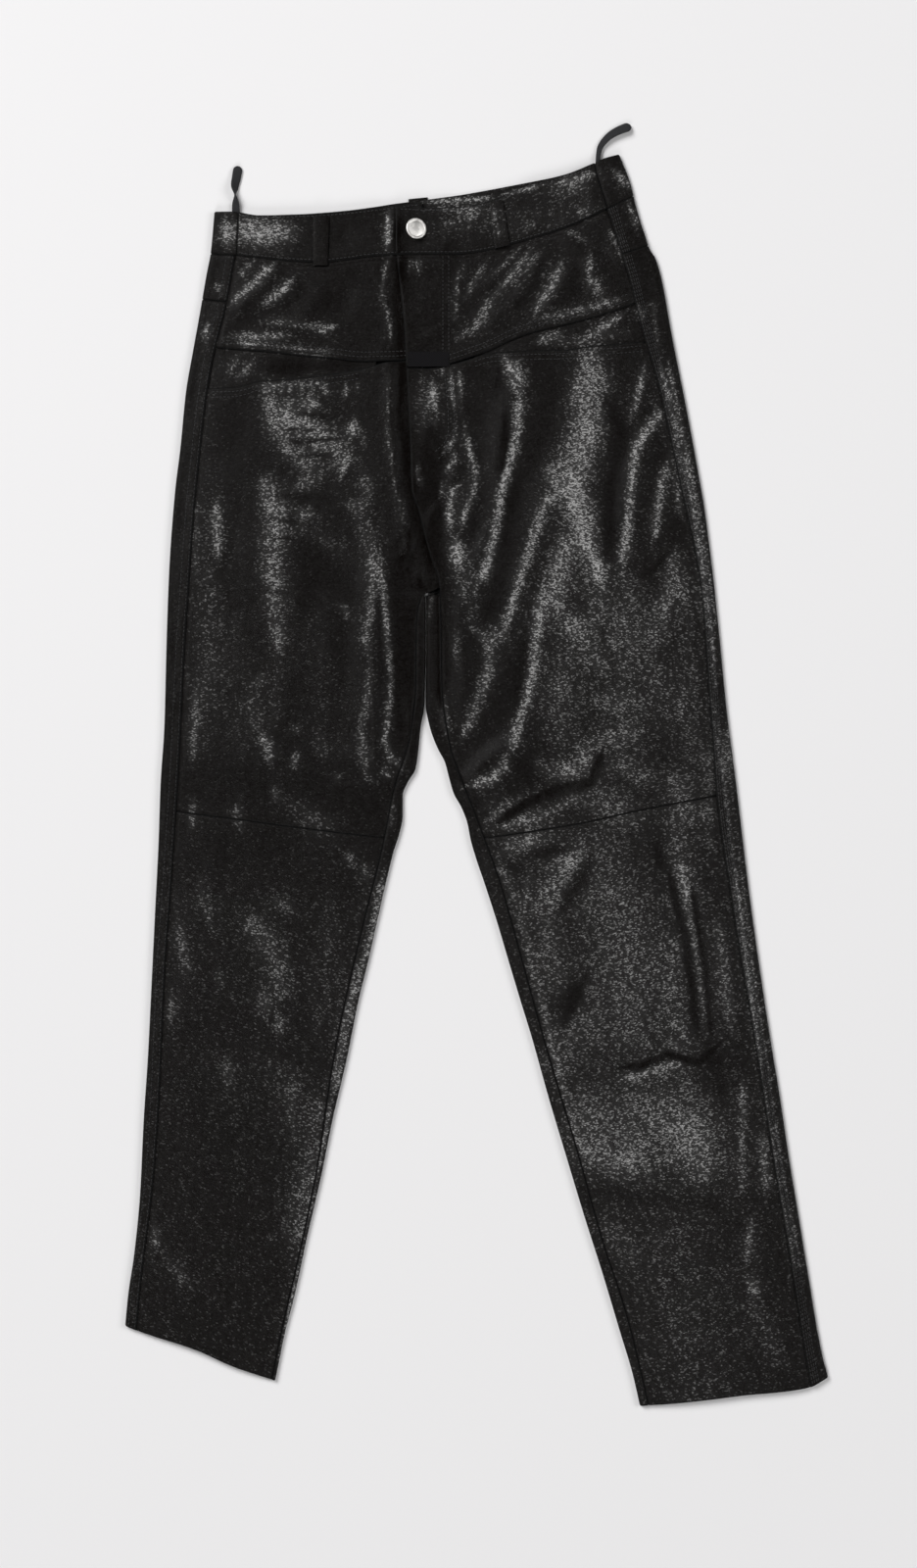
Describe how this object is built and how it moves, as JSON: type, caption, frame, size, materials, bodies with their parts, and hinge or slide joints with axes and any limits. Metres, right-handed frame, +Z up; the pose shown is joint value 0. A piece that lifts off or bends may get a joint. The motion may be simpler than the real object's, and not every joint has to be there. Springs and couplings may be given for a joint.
{
  "type": "leather trousers",
  "caption": "Leather trousers laid flat, front up: waistband, button fly, hip yokes, slanted pockets, knee seams, belt loops and hanger tapes.",
  "frame": {"origin": "middle of the trousers' footprint on the surface they lie on", "axes": "+X from the wearer's right leg to the left, +Y from the hems to the waist, +Z up from the surface, out of the front"},
  "size_m": [0.588, 1.074, 0.0148],
  "materials": {
    "leather": "glossy black grained nappa",
    "tape": "black satin tape",
    "woven_label": "dark woven tab, bare",
    "button_metal": "polished nickel, bare"
  },
  "bodies": {
    "root": {"back_yoke_right": "leather", "back_yoke_left": "leather", "back_leg_right": "leather", "back_leg_left": "leather", "front_yoke_right": "leather", "front_yoke_left": "leather", "front_thigh_right": "leather", "front_thigh_left": "leather", "front_shin_right": "leather", "front_shin_left": "leather", "pocket_facing_right": "leather", "pocket_facing_left": "leather", "waistband_back": "leather", "waistband_front_right": "leather", "waistband_front_left": "leather", "belt_loop_right": "leather", "belt_loop_left": "leather", "belt_loop_back": "leather", "label_tab": "woven_label", "hanger_loop_right": "tape", "hanger_loop_left": "tape", "button": "button_metal"}
  },
  "joints": []
}
